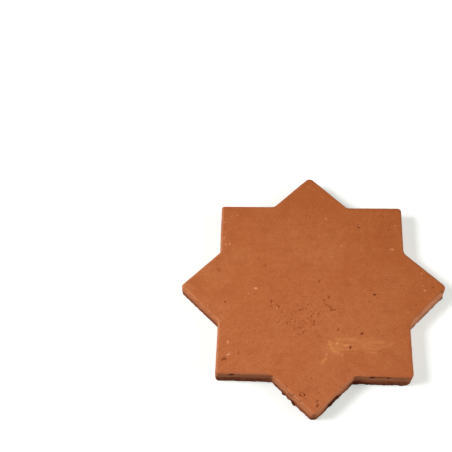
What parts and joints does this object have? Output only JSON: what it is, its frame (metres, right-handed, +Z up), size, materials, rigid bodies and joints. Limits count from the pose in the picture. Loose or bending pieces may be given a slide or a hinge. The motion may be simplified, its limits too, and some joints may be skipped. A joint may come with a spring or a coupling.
{
  "type": "terracotta floor tile",
  "caption": "Eight-pointed star floor tile of unglazed terracotta, flat on both faces, with soft worn edges, a torn lower edge and open pits.",
  "frame": {"origin": "middle of the underside, at the centre of the outline's bounding box", "axes": "+Z up out of the wear face; +X and +Y each point at one of the star's points"},
  "size_m": [0.1998, 0.1966, 0.014],
  "materials": {
    "terracotta": "matte, unglazed, fine pores"
  },
  "bodies": {
    "root": {"star_tile": "terracotta"}
  },
  "joints": []
}
